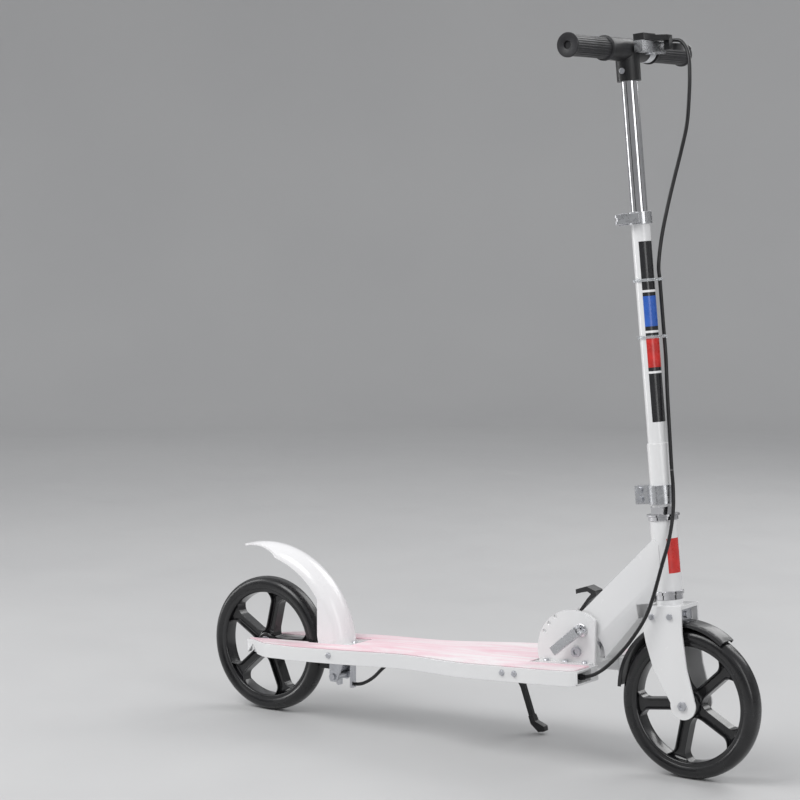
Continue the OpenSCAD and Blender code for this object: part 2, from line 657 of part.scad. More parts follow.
module grip(inner) {
    difference() {
        union() {
            rod_y(grip_d / 2, inner, bar_half);
            rod_y(grip_d / 2 + 2.5, inner, inner + 4);
            rod_y(grip_d / 2 + 2, bar_half - 4, bar_half);
        }
        rod_y(inner_d / 2 + 0.02, inner - 1, bar_half - 3.4);
    }
}
module grips() color(black) bar_frame() both_sides() grip(56);
lever_n = 24;
lever_y = 15;
module brake_perch() color(steel) bar_frame() difference() {
    union() {
        rod_y(15, 38, 53);
        translate([10, 38, -6]) cube([12, 15, 12]);
        translate([18, -12, -6]) cube([12, 62, 15]);
    }
    rod_y(inner_d / 2 + 0.02, 30, 60);
    translate([lever_n, lever_y, -10]) cylinder(r = 2.52, h = 30);
    translate([lever_n, 0, 4]) rod_y(2.7, 40, 60);
}
module lever_pin() color(steel) bar_frame() translate([lever_n, lever_y, 0]) {
    translate([0, 0, -8]) cylinder(r = 2.5, h = 28);
    translate([0, 0, -8]) cylinder(r = 4.5, h = 1.9);
}
module brake_lever() color(black) bar_frame() difference() {
    union() {
        translate([15.5, -8, 9.5]) cube([15.5, 32, 9]);
        translate([0, 0, 9.5]) linear_extrude(7)
            polygon([[20, 20], [31, 12], [43, 34], [43, 47], [35, 47], [29, 34]]);
        translate([35, 37, -3]) cube([8, 10, 19.5]);
        translate([0, 0, -3]) linear_extrude(9) polygon(concat(
            [for (k = [0:6]) [40 + 4 * sin(30 * k), 44 + 8.8 * k]],
            [for (k = [6:-1:0]) [35.5 + 4 * sin(30 * k), 44 + 8.8 * k]]));
        translate([37.5, 97, 1.5]) sphere(r = 4.6, $fn = 32);
    }
    translate([lever_n, lever_y, 0]) cylinder(r = 2.5 + slip, h = 40);
}

// ---------- brake cable ----------
cable_r = 2.5;
// Routes in the steering frame: forward, left, along the axis
upper_route = [[24, 50.6, 868], [25.5, 54.5, 870.3], [30, 58.5, 873.8], [38, 62, 874.8], [47, 63, 872.3],
    [55, 61, 862], [60, 57, 848], [62, 52, 828], [61, 48, 800], [56, 45, 762],
    [47, 40, 727], [37, 34, 692], [28, 26, 655], [21, 16, 615], [18, 8, 580],
    [18, 8, 562]];
stem_route = [[18, 8, 561.5], [18, 8, 545], [18, 8, 515], [18, 8, 486], [19, 6, 455], [20, 1, 410],
    [21, -3, 360], [21.5, -6, 310]];
lower_route = [[21.5, -6, 309.5], [22, -7, 285], [22, -12, 255], [18, -21, 220], [9, -27, 190]];
// From the head tube down to the right-hand port: from the rear axle, left, up
deck_route = [[666, -38, 224], [643, -45, 182], [617, -54, 150], [600, -60, 136], [584.6, -62, 129.9]];
// Under the deck, in the deck frame
under_route = [[572.5, -62, -11], [520, -62, -11], [480, -58, -10], [420, -48, -10], [330, -34, -10],
    [260, -18, -13], [218, -7, -28], [188, -1, -49], [168, 0, -59], [152.4, 0, -61.3]];
function to_world(p) = [stem_foot_x + p[0] * cos(lean) - p[2] * sin(lean), p[1],
    stem_foot_z + p[0] * sin(lean) + p[2] * cos(lean)];
module cable(route, steps) color(black) sweep(spline(route, steps), cable_r);
module cable_upper() stem_frame() cable(upper_route, 3);
module cable_stem() stem_frame() cable(stem_route, 3);
module cable_lower() cable(concat([for (p = lower_route) to_world(p)],
    [for (p = deck_route) [rear_x + p[0], p[1], p[2]]]), 3);
module cable_under() deck_frame() cable(under_route, 3);
module cable_adjuster() color(black) deck_frame() translate([573, -62, -11]) rotate([0, 90, 0]) {
    cylinder(r = 3.4, h = 11);
    translate([0, 0, 3]) cylinder(r = 4.6, h = 4, $fn = 6);
}

deck_plate();
grip_mat();
rear_yoke();
front_ports();
bracket_plates();
fold_pivot_bolt();
rear_fender();
deck_screws();
rear_axle_bolt();
rear_axle_spacers();
brake_bracket();
kickstand_bracket();
kickstand_bolts();
cable_adjuster();
cable_under();
rear_tyre();
rear_rim();
rear_bearings();
brake_arm();
brake_pad();
kickstand_leg();
neck_beam();
head_tube();
headset_cups();
head_sticker();
fold_skewer();
latch_pin();
cable_lower();
fold_lever();
latch_handle();
fork_legs();
fork_crown();
crown_bolts();
front_mudguard();
mudguard_bracket();
front_axle_bolt();
front_axle_spacers();
steerer_sleeve();
headset_nuts();
lower_clamp();
clamp_bolts();
stem_tube();
stem_decal();
upper_clamp();
height_skewer();
cable_ties();
cable_stem();
front_tyre();
front_rim();
front_bearings();
height_lever();
inner_tube();
t_head();
handlebar_tube();
grips();
brake_perch();
head_bolt();
lever_pin();
cable_upper();
brake_lever();
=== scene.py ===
import json
import math

import bmesh
import bpy
from mathutils import Matrix, Vector


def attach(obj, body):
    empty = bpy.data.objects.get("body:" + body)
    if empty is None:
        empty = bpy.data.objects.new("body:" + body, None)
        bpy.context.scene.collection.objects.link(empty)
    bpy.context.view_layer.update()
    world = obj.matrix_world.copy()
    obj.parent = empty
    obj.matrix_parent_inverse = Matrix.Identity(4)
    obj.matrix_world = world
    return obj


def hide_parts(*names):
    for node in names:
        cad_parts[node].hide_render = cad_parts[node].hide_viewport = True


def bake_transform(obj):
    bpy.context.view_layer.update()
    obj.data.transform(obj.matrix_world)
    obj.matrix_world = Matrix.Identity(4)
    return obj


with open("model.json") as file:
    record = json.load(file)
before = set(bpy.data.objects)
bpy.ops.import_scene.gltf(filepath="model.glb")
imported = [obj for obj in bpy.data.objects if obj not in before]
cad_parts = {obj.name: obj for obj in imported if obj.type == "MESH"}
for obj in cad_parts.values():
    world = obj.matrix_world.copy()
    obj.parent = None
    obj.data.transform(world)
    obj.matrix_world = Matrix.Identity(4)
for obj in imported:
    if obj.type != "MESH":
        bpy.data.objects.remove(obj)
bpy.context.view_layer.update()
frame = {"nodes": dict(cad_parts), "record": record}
nodes = frame["nodes"]

MM = 0.001
LEAN_DEG = 5.75
LEAN = math.radians(LEAN_DEG)
WHEELBASE = 711
WHEEL_R = 100
FORK_OFFSET = 20.6
DECK_Z = 109
DECK_TILT = 3.1
PIVOT_AHEAD = 554
PIVOT_Z = 156
BAR_STATION = 864
CABLE_R = 2.5
REAR_X = -WHEELBASE / 2
FRONT_X = WHEELBASE / 2


# ---------- frames, in millimetres ----------
def place(x, y, z, turn=0.0):
    """Frame at a point, with its X axis turned up from the ground by an angle in degrees."""
    return Matrix.Translation((x, y, z)) @ Matrix.Rotation(-math.radians(turn), 4, "Y")


STEM = place(FRONT_X - FORK_OFFSET * math.cos(LEAN), 0, WHEEL_R - FORK_OFFSET * math.sin(LEAN), LEAN_DEG)
DECK = place(REAR_X, 0, DECK_Z, DECK_TILT)
PIVOT = place(REAR_X + PIVOT_AHEAD, 0, PIVOT_Z)
REAR = place(REAR_X, 0, WHEEL_R)
FRONT = place(FRONT_X, 0, WHEEL_R)
BAR = STEM @ Matrix.Translation((0, 0, BAR_STATION))


# ---------- mesh code ----------
def make(name, verts, faces, at, body, material, smooth=40, bevel=0.0, slot=None, replaces=(), segs=2):
    """Mesh piece from points in millimetres of a local frame, riding on a body."""
    mesh = bpy.data.meshes.new(name)
    mesh.from_pydata([(at @ Vector(v)) * MM for v in verts], [], [list(f) for f in faces])
    mesh.validate()
    bm = bmesh.new()
    bm.from_mesh(mesh)
    bmesh.ops.remove_doubles(bm, verts=bm.verts, dist=1e-6)
    bmesh.ops.recalc_face_normals(bm, faces=bm.faces)
    bm.to_mesh(mesh)
    bm.free()
    mesh.materials.append(material)
    obj = bpy.data.objects.new(name, mesh)
    bpy.context.scene.collection.objects.link(obj)
    if bevel:
        b = obj.modifiers.new("edges", "BEVEL")
        b.width = bevel * MM
        b.segments = segs
        b.limit_method = "ANGLE"
        b.angle_limit = math.radians(30)
    shade(mesh, smooth)
    if body:
        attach(obj, body)
    if replaces:
        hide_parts(*replaces)
    return obj


def shade(mesh, degrees):
    """Smooth faces, with edges sharper than the angle kept hard."""
    bm = bmesh.new()
    bm.from_mesh(mesh)
    for f in bm.faces:
        f.smooth = True
    for e in bm.edges:
        if len(e.link_faces) == 2 and e.calc_face_angle(0) > math.radians(degrees):
            e.smooth = False
    bm.to_mesh(mesh)
    bm.free()


def join(parts):
    """One list of points and faces from several."""
    verts, faces = [], []
    for v, f in parts:
        n = len(verts)
        verts += [tuple(p) for p in v]
        faces += [[i + n for i in q] for q in f]
    return verts, faces


def lathe(profile, n):
    """Profile of (radius, height) turned about the local Y axis."""
    verts, faces = [], []
    m = len(profile)
    for k in range(n):
        a = 2 * math.pi * k / n
        verts += [(r * math.cos(a), y, r * math.sin(a)) for r, y in profile]
    for k in range(n):
        for i in range(m - 1):
            faces.append([k * m + i, k * m + i + 1, (k + 1) % n * m + i + 1, (k + 1) % n * m + i])
    return verts, faces


def lathe_z(profile, n):
    """Profile of (radius, height) turned about the local Z axis."""
    v, f = lathe(profile, n)
    return [(x, -z, y) for x, y, z in v], f


def slab(outline, z0, z1):
    """Outline in X and Y, drawn out along Z."""
    n = len(outline)
    verts = [(x, y, z0) for x, y in outline] + [(x, y, z1) for x, y in outline]
    faces = [list(range(n - 1, -1, -1)), list(range(n, 2 * n))]
    faces += [[i, (i + 1) % n, n + (i + 1) % n, n + i] for i in range(n)]
    return verts, faces


def box(x0, x1, y0, y1, z0, z1):
    return slab([(x0, y0), (x1, y0), (x1, y1), (x0, y1)], z0, z1)


def loft(rings):
    """Skin over rings of equal length, closed at both ends."""
    n = len(rings[0])
    verts = [p for r in rings for p in r]
    faces = []
    for i in range(len(rings) - 1):
        j = i + 1
        for k in range(n):
            faces.append([i * n + k, i * n + (k + 1) % n, j * n + (k + 1) % n, j * n + k])
    faces.append(list(range(n - 1, -1, -1)))
    faces.append([(len(rings) - 1) * n + k for k in range(n)])
    return verts, faces


def arc(cx, cy, r, a0, a1, n):
    """Points of an arc, angles in degrees."""
    return [(cx + r * math.cos(math.radians(a0 + (a1 - a0) * k / n)),
             cy + r * math.sin(math.radians(a0 + (a1 - a0) * k / n))) for k in range(n + 1)]


def curve_points(points, n):
    """Smooth curve through the given points, n steps a span."""
    p = [Vector(q) for q in points]
    out = []
    for i in range(len(p) - 1):
        a, b, c, d = p[max(0, i - 1)], p[i], p[i + 1], p[min(len(p) - 1, i + 2)]
        for k in range(n):
            t = k / n
            out.append(0.5 * (2 * b + (c - a) * t + (2 * a - 5 * b + 4 * c - d) * t * t
                              + (3 * b - a - 3 * c + d) * t * t * t))
    out.append(p[-1])
    return out


def sweep(points, r, n=12):
    """Round tube along a list of points, with closed ends."""
    rings = []
    m = len(points)
    normal = None
    for i, c in enumerate(points):
        t = (points[min(m - 1, i + 1)] - points[max(0, i - 1)]).normalized()
        if normal is None:
            normal = t.cross(Vector((0, 1, 0)) if abs(t.y) < 0.9 else Vector((1, 0, 0))).normalized()
        else:
            normal = (normal - t * normal.dot(t)).normalized()
        side = t.cross(normal)
        turns = [2 * math.pi * k / n for k in range(n)]
        rings.append([c + r * (math.cos(a) * normal + math.sin(a) * side) for a in turns])
    return loft(rings)


# ---------- materials ----------
class Maker:
    """Builds one principled material from noise, ramps and bumps in object coordinates."""

    def __init__(self, name, color, rough, metallic=0.0, coat=0.0, sheen=0.0, coat_rough=0.05):
        self.mat = bpy.data.materials.new(name)
        self.mat.use_nodes = True
        self.tree = self.mat.node_tree
        self.shader = self.tree.nodes["Principled BSDF"]
        self.shader.inputs["Base Color"].default_value = (*color, 1)
        self.shader.inputs["Roughness"].default_value = rough
        self.shader.inputs["Metallic"].default_value = metallic
        self.shader.inputs["Coat Weight"].default_value = coat
        self.shader.inputs["Coat Roughness"].default_value = coat_rough
        self.shader.inputs["Sheen Weight"].default_value = sheen
        self.coords = self.tree.nodes.new("ShaderNodeTexCoord").outputs["Object"]
        self.normal = None

    def link(self, a, b):
        self.tree.links.new(a, b)

    def mapped(self, scale):
        m = self.tree.nodes.new("ShaderNodeMapping")
        m.inputs["Scale"].default_value = scale
        self.link(self.coords, m.inputs["Vector"])
        return m.outputs["Vector"]

    def noise(self, scale, detail=3.0, rough=0.5, stretch=(1, 1, 1), distortion=0.0):
        n = self.tree.nodes.new("ShaderNodeTexNoise")
        n.inputs["Scale"].default_value = scale
        n.inputs["Detail"].default_value = detail
        n.inputs["Roughness"].default_value = rough
        n.inputs["Distortion"].default_value = distortion
        self.link(self.mapped(stretch), n.inputs["Vector"])
        return n.outputs["Fac"]

    def ramp(self, fac, stops):
        r = self.tree.nodes.new("ShaderNodeValToRGB")
        while len(r.color_ramp.elements) < len(stops):
            r.color_ramp.elements.new(0.5)
        for e, (p, c) in zip(r.color_ramp.elements, stops):
            e.position = p
            e.color = (*c, 1) if hasattr(c, "__len__") else (c, c, c, 1)
        self.link(fac, r.inputs["Fac"])
        return r.outputs["Color"]

    def paint(self, out):
        self.link(out, self.shader.inputs["Base Color"])
        return self

    def gloss(self, out):
        self.link(out, self.shader.inputs["Roughness"])
        return self

    def mix(self, fac, a, b):
        m = self.tree.nodes.new("ShaderNodeMix")
        m.data_type = "RGBA"
        for value, socket in ((fac, m.inputs[0]), (a, m.inputs[6]), (b, m.inputs[7])):
            if hasattr(value, "is_linked"):
                self.link(value, socket)
            else:
                socket.default_value = value if socket == m.inputs[0] else (*value, 1)
        return m.outputs[2]

    def math(self, op, a, b):
        m = self.tree.nodes.new("ShaderNodeMath")
        m.operation = op
        for value, socket in ((a, m.inputs[0]), (b, m.inputs[1])):
            if hasattr(value, "is_linked"):
                self.link(value, socket)
            else:
                socket.default_value = value
        return m.outputs[0]

    def bump(self, height, strength, distance=0.0003):
        b = self.tree.nodes.new("ShaderNodeBump")
        b.inputs["Strength"].default_value = strength
        b.inputs["Distance"].default_value = distance
        self.link(height, b.inputs["Height"])
        if self.normal:
            self.link(self.normal, b.inputs["Normal"])
        self.normal = b.outputs["Normal"]
        self.link(self.normal, self.shader.inputs["Normal"])
        return self


def tone(m, low, high, scale, stretch=(1, 1, 1), detail=4.0):
    """Gentle variation between two colours."""
    m.paint(m.ramp(m.noise(scale, detail, stretch=stretch), [(0.35, low), (0.65, high)]))
    return m


def gloss_range(m, low, high, scale, stretch=(1, 1, 1), detail=5.0):
    m.gloss(m.ramp(m.noise(scale, detail, 0.6, stretch), [(0.3, low), (0.7, high)]))
    return m


def white_paint():
    m = Maker("white_paint", (0.8, 0.8, 0.8), 0.24, coat=0.6, coat_rough=0.08)
    tone(m, (0.775, 0.778, 0.785), (0.815, 0.815, 0.815), 6)
    gloss_range(m, 0.16, 0.28, 25)
    m.bump(m.noise(420, 3), 0.05, 0.0002)
    return m.mat


def white_plastic():
    m = Maker("white_plastic", (0.85, 0.845, 0.85), 0.25, coat=0.3)
    tone(m, (0.83, 0.82, 0.83), (0.87, 0.865, 0.87), 5)
    gloss_range(m, 0.18, 0.3, 18)
    m.bump(m.noise(300, 2), 0.06, 0.0002)
    return m.mat


def black_gloss(name="black_gloss", color=(0.007, 0.007, 0.008), low=0.14, high=0.28):
    m = Maker(name, color, 0.2, coat=0.25, coat_rough=0.1)
    tone(m, tuple(c * 0.7 for c in color), tuple(c * 1.5 for c in color), 40)
    gloss_range(m, low, high, 35)
    m.bump(m.noise(600, 3), 0.08, 0.0002)
    return m.mat


def tyre_rubber():
    m = Maker("tyre_rubber", (0.018, 0.018, 0.019), 0.35, coat=0.12, coat_rough=0.2)
    tone(m, (0.006, 0.006, 0.007), (0.013, 0.013, 0.014), 30)
    gloss_range(m, 0.2, 0.34, 22)
    m.bump(m.noise(900, 4), 0.15, 0.0002)
    return m.mat


def black_satin(name="black_satin", color=(0.011, 0.011, 0.012), rough=(0.32, 0.5)):
    m = Maker(name, color, 0.4)
    tone(m, tuple(c * 0.75 for c in color), tuple(c * 1.4 for c in color), 60)
    gloss_range(m, rough[0], rough[1], 40)
    m.bump(m.noise(1100, 4), 0.25, 0.0002)
    return m.mat


def steel(name="steel", color=(0.56, 0.57, 0.6), low=0.22, high=0.42, stretch=(1, 12, 1)):
    m = Maker(name, color, 0.3, metallic=1.0)
    tone(m, tuple(c * 0.93 for c in color), tuple(min(1, c * 1.06) for c in color), 45, stretch)
    gloss_range(m, low, high, 160, stretch)
    m.bump(m.noise(2600, 3, stretch=stretch), 0.04, 0.0001)
    return m.mat


def chrome():
    color = (0.72, 0.72, 0.74)
    m = Maker("chrome", color, 0.1, metallic=1.0)
    tone(m, tuple(c * 0.92 for c in color), tuple(min(1, c * 1.08) for c in color), 12)
    gloss_range(m, 0.05, 0.14, 30)
    m.bump(m.noise(350, 2), 0.02, 0.0002)
    return m.mat


def marble():
    """Pink and white grip mat, streaked along the deck, with a fine grit."""
    m = Maker("marbled_mat", (0.85, 0.72, 0.75), 0.75, sheen=0.1)
    veins = m.noise(7, 6, 0.6, (0.55, 2.6, 1), distortion=1.6)
    soft = m.ramp(veins, [(0.36, (0.82, 0.55, 0.61)), (0.48, (0.84, 0.68, 0.72)), (0.6, (0.84, 0.79, 0.8))])
    threads = m.ramp(m.noise(16, 8, 0.65, (0.4, 2.4, 1), distortion=2.2), [(0.52, 0.0), (0.6, 1.0)])
    m.paint(m.mix(m.math("MULTIPLY", threads, 0.35), soft, (0.78, 0.5, 0.57)))
    m.bump(m.noise(1500, 3, 0.7), 0.5, 0.0004)
    m.bump(m.noise(90, 3), 0.1, 0.0004)
    gloss_range(m, 0.6, 0.85, 60)
    return m.mat


def ink(name, color):
    """Printed film, a little uneven."""
    m = Maker(name, color, 0.28, coat=0.4)
    tone(m, tuple(c * 0.85 for c in color), tuple(min(1, c * 1.1) for c in color), 60)
    gloss_range(m, 0.2, 0.34, 50)
    m.bump(m.noise(700, 2), 0.04, 0.0001)
    return m.mat


def clear_plastic():
    m = Maker("clear_plastic", (0.86, 0.88, 0.9), 0.16)
    m.shader.inputs["Transmission Weight"].default_value = 0.7
    m.shader.inputs["IOR"].default_value = 1.49
    tone(m, (0.82, 0.85, 0.88), (0.9, 0.92, 0.94), 40)
    gloss_range(m, 0.1, 0.24, 60)
    return m.mat


WHITE = white_paint()
FENDER = white_plastic()
RIM = black_gloss("rim_plastic")
GUARD = black_gloss("mudguard_plastic", (0.009, 0.009, 0.01), 0.24, 0.38)
TYRE = tyre_rubber()
SATIN = black_satin()
GRIP = black_satin("grip_rubber", (0.013, 0.013, 0.015), (0.4, 0.56))
JACKET = black_satin("cable_jacket", (0.008, 0.008, 0.009), (0.28, 0.4))
STEEL = steel()
ALLOY = steel("alloy", (0.62, 0.63, 0.65), 0.2, 0.36, (1, 1, 1))
CHROME = chrome()
MAT = marble()
RED = ink("red_film", (0.62, 0.03, 0.025))
BLUE = ink("blue_film", (0.03, 0.12, 0.5))
INK = ink("black_film", (0.015, 0.015, 0.017))
CLEAR = clear_plastic()

FINISH = {
    "white_paint": WHITE, "grip_tape": MAT, "white_plastic": FENDER, "steel": STEEL, "chrome": CHROME,
    "alloy": ALLOY, "tyre": TYRE, "black_plastic": RIM, "black_steel": SATIN, "grip_rubber": GRIP,
    "cable_jacket": JACKET, "red_label": RED, "decal": INK, "clear_tie": CLEAR,
}
SLOTS = {p["node"]: p["material_slot"] for p in frame["record"]["subparts"]}
BODY = {n: b for b, ns in frame["record"]["behaviour"]["bodies"].items() for n in ns}

# ---------- CAD nodes, given rounded edges ----------
USUAL_EDGE = 0.4
SHARP = math.radians(38)
# Width of the rounding where it isn't the usual one
EDGE = {
    "deck_plate": 1.6, "neck_beam": 2.2, "fork_legs": 0.9, "bracket_plates": 0.8, "rear_fender": 0.7,
    "front_mudguard": 0.6, "brake_lever": 1.5, "t_head": 1.4, "latch_handle": 1.2, "fold_lever": 1.0,
    "height_lever": 1.0, "upper_clamp": 0.9, "lower_clamp": 0.9, "kickstand_leg": 1.2, "brake_perch": 1.0,
    "headset_nuts": 0.6, "headset_cups": 0.6, "fork_crown": 0.8, "grip_mat": 0.6,
    "head_sticker": 0, "steerer_sleeve": 0.5, "stem_tube": 0.5, "kickstand_bracket": 1.0,
}
LOOKS = {"front_mudguard": GUARD, "t_head": SATIN, "brake_lever": GUARD, "latch_handle": GUARD}


def refine(name):
    """Copy of a CAD node with its flat faces joined and its edges rounded, standing for the node."""
    bm = bmesh.new()
    bm.from_mesh(nodes[name].data)
    bmesh.ops.remove_doubles(bm, verts=bm.verts, dist=2e-6)
    bmesh.ops.dissolve_limit(bm, angle_limit=math.radians(0.6), verts=bm.verts, edges=bm.edges)
    for f in bm.faces:
        f.smooth = True
    for e in bm.edges:
        if len(e.link_faces) == 2 and e.calc_face_angle(0) > SHARP:
            e.smooth = False
    mesh = bpy.data.meshes.new(name + "_look")
    bm.to_mesh(mesh)
    bm.free()
    mesh.materials.append(LOOKS.get(name, FINISH[SLOTS[name]]))
    obj = bpy.data.objects.new(name + "_look", mesh)
    bpy.context.scene.collection.objects.link(obj)
    width = EDGE.get(name, USUAL_EDGE)
    if width:
        b = obj.modifiers.new("edges", "BEVEL")
        b.width = width * MM
        b.segments = 3
        b.limit_method = "ANGLE"
        b.angle_limit = SHARP
        b.use_clamp_overlap = True
        w = obj.modifiers.new("normals", "WEIGHTED_NORMAL")
        w.keep_sharp = True
    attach(obj, BODY[name])
    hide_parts(name)


# Nodes that have a shape of their own further down
BUILT = ("rear_tyre", "front_tyre", "rear_rim", "front_rim", "grips", "cable_upper", "cable_stem",
         "cable_lower", "cable_under", "stem_decal")
for name in nodes:
    if name not in BUILT:
        refine(name)


# ---------- wheels ----------
def tyre_profile():
    """Rounded tyre section as (radius, height), from one bead over the tread to the other."""
    half = [(83.0, 12.4), (85.5, 13.9), (88.5, 14.6)]
    crown = [(88.5 + 11.5 * math.sin(math.radians(a)) ** 0.9, 14.7 * max(0, math.cos(math.radians(a))) ** 0.8)
             for a in range(6, 91, 7)]
    side = half + crown
    return side + [(r, -y) for r, y in reversed(side[:-1])]


SPOKE_ROOT, SPOKE_TIP, SPOKE_STEPS = 15.5, 79.5, 30


def spoke(turn):
    """Channelled spoke: a web between two raised edges, flaring into the rim and the hub."""
    lip = 2.0
    rings = []
    for k in range(SPOKE_STEPS + 1):
        r = SPOKE_ROOT + (SPOKE_TIP - SPOKE_ROOT) * k / SPOKE_STEPS
        w = 7.6 + 15 * max(0, (r - 62) / 16) ** 2.3 + 3.4 * max(0, (28 - r) / 12) ** 2
        d = 8.6 + 2.4 * max(0, (r - 70) / 9) ** 2
        web = 3.2 + 4.6 * max(0, (r - 73) / 6.5) ** 2 + 4.6 * max(0, (21 - r) / 5.5) ** 2
        half = [(-w, -d), (-w + lip, -d), (-w + lip + 1.2, -web), (w - lip - 1.2, -web), (w - lip, -d), (w, -d)]
        section = half + [(t, -y) for t, y in reversed(half)]
        rings.append([(r, y, t) for t, y in section])
    v, f = loft(rings)
    m = Matrix.Rotation(-math.radians(turn), 4, "Y")
    return [m @ Vector(p) for p in v], f


def wheel(prefix, at, body, first):
    make(prefix + "_tyre_look", *lathe(tyre_profile(), 160), at, body, TYRE, 60, slot="tyre",
         replaces=(prefix + "_tyre",))
    ring = [(84.5, 12.4), (81.5, 12.9), (78.6, 12.3), (77.2, 10.6), (76.8, 8.0), (76.5, 0.0)]
    ring = ring + [(r, -y) for r, y in reversed(ring[:-1])]
    hub = [(11.1, 13.0), (14.8, 13.0), (16.8, 11.8), (17.8, 9.0), (18.0, 0.0)]
    hub = hub + [(r, -y) for r, y in reversed(hub[:-1])]
    sleeve = [(11.1, -13), (11.1, -6), (6.2, -6), (6.2, 6), (11.1, 6), (11.1, 13)]
    parts = [lathe(ring, 160), lathe(hub, 64), lathe(sleeve, 64)] + [spoke(first + 72 * k) for k in range(5)]
    make(prefix + "_rim_look", *join(parts), at, body, RIM, 35, 0.7, "black_plastic", (prefix + "_rim",), 3)


wheel("rear", REAR, "rear_wheel", 5)
wheel("front", FRONT, "front_wheel", 43)


# ---------- grips ----------
def grip(side):
    """Ribbed grip with a flange at each end and a hole in its end disc."""
    body = [(56, 14.2, 0), (56, 16.0, 0), (56.5, 16.5, 0), (59.5, 16.5, 0), (60.3, 15.8, 0), (60.6, 14.2, 0.2)]
    body += [(62.0, 14.0, 0.7), (100, 13.8, 0.7), (142.5, 14.0, 0.7), (144.2, 14.2, 0.2), (144.8, 15.2, 0)]
    body += [(145.8, 15.9, 0), (148.0, 15.9, 0), (149.0, 15.0, 0), (149.0, 6.0, 0), (148.6, 5.4, 0)]
    body += [(146.2, 5.0, 0), (146.0, 0.05, 0)]
    rings = []
    for y, r, groove in body:
        ring = []
        for k in range(192):
            a = 2 * math.pi * k / 192
            rr = r - groove * max(0, math.cos(24 * a)) ** 4
            ring.append((rr * math.cos(a), side * y, rr * math.sin(a)))
        rings.append(ring)
    return loft(rings)


make("grips_look", *join([grip(1), grip(-1)]), BAR, "handlebar", GRIP, 45, slot="grip_rubber",
     replaces=("grips",))


# ---------- cam nuts and small fittings ----------
def knurled(r, y0, y1):
    """Nut with a toothed rim, along Y."""
    teeth, depth, chamfer = 22, 0.5, 0.8
    n = teeth * 4
    rings = []
    for y, scale, cut in ((y0, 0.86, 0), (y0 + chamfer, 1, 1), (y1 - chamfer, 1, 1), (y1, 0.86, 0)):
        ring = []
        for k in range(n):
            a = 2 * math.pi * k / n
            rr = r * scale - depth * cut * (k % 4 in (0, 1))
            ring.append((rr * math.cos(a), y, rr * math.sin(a)))
        rings.append(ring)
    return loft(rings)


SKEWER_TURN, SKEWER_REACH, LEVER_TILT = 76, 31, 41
turn = math.radians(SKEWER_TURN)
SKEWER = PIVOT @ Matrix.Translation((SKEWER_REACH * math.cos(turn), 0, SKEWER_REACH * math.sin(turn))) \
    @ Matrix.Rotation(-math.radians(LEVER_TILT), 4, "Y")
make("fold_nut_look", *join([knurled(9.0, -36.6, -33.6), knurled(8.0, 36, 39.5)]), SKEWER, "deck", CHROME, 35,
     slot="chrome")
HEIGHT = STEM @ Matrix.Translation((-22, -15, 643))
make("height_nut_look", *knurled(7.2, 21.8, 24.2), HEIGHT, "steering", CHROME, 35, slot="chrome")


def tail(station):
    """Cut end of a cable tie behind the stem."""
    return box(-19, -11.4, 6.2, 7.4, station - 1.6, station + 1.6)


make("tie_tails", *join([tail(561), tail(486)]), STEM, "steering", CLEAR, 35, 0.2, "clear_tie")
# Bars around the two cable ports, as lowest and highest Y, then lowest and highest Z
PORT_BARS = [
    (-83.5, -81.5, -18.6, -1.8), (-46.5, -44.5, -18.6, -1.8), (-83.5, -44.5, -18.8, -17.2),
    (81.5, 83.5, -18.6, -1.8), (44.5, 46.5, -18.6, -1.8), (44.5, 83.5, -18.8, -17.2),
]
make("port_frames", *join([box(581.6, 585.3, *bar) for bar in PORT_BARS]), DECK, "deck", WHITE, 35, 0.4,
     "white_paint")

# ---------- decals ----------
def wrap(s0, s1, a0, a1, r):
    """Film on the stem between two stations and two angles."""
    n = max(2, int(abs(a1 - a0) / 4))
    verts, faces = [], []
    for k in range(n + 1):
        a = math.radians(a0 + (a1 - a0) * k / n)
        for s in (s0, s1):
            verts.append((r * math.cos(a), r * math.sin(a), s))
    for k in range(n):
        faces.append([2 * k, 2 * k + 2, 2 * k + 3, 2 * k + 1])
    return verts, faces


# Plain stripes: a dark film with a blue and a red band between thin white lines
FILM_FROM, FILM_TO = -80, 22
FILM_R, BAND_R = 12.83, 12.9
films = {
    "decal_black": (INK, [wrap(374, 612, FILM_FROM, FILM_TO, FILM_R)]),
    "decal_blue": (BLUE, [wrap(500, 540, FILM_FROM, FILM_TO, BAND_R)]),
    "decal_red": (RED, [wrap(446, 486, FILM_FROM, FILM_TO, BAND_R)]),
    "decal_white": (FENDER, [wrap(s, s + 3, FILM_FROM, FILM_TO, BAND_R) for s in (438, 491.5, 545)]),
}
for name, (film, parts) in films.items():
    make(name, *join(parts), STEM, "steering", film, 60, slot="decal",
         replaces=("stem_decal",) if name == "decal_black" else ())

# ---------- cable ----------
UPPER = [(24, 50.6, 868), (25.5, 54.5, 870.3), (30, 58.5, 873.8), (38, 62, 874.8), (47, 63, 872.3),
         (55, 61, 862), (60, 57, 848), (62, 52, 828), (61, 48, 800), (56, 45, 762),
         (47, 40, 727), (37, 34, 692), (28, 26, 655), (21, 16, 615), (18, 8, 580),
         (18, 8, 562)]
ALONG_STEM = [(18, 8, 561.5), (18, 8, 545), (18, 8, 515), (18, 8, 486), (19, 6, 455), (20, 1, 410),
              (21, -3, 360), (21.5, -6, 310)]
NECK = [(21.5, -6, 309.5), (22, -7, 285), (22, -12, 255), (18, -21, 220), (9, -27, 190)]
PORT = [(666, -38, 224), (643, -45, 182), (617, -54, 150), (600, -60, 136), (584.6, -62, 129.9)]
UNDER = [(572.5, -62, -11), (520, -62, -11), (480, -58, -10), (420, -48, -10), (330, -34, -10), (260, -18, -13),
         (218, -7, -28), (188, -1, -49), (168, 0, -59), (152.4, 0, -61.3)]
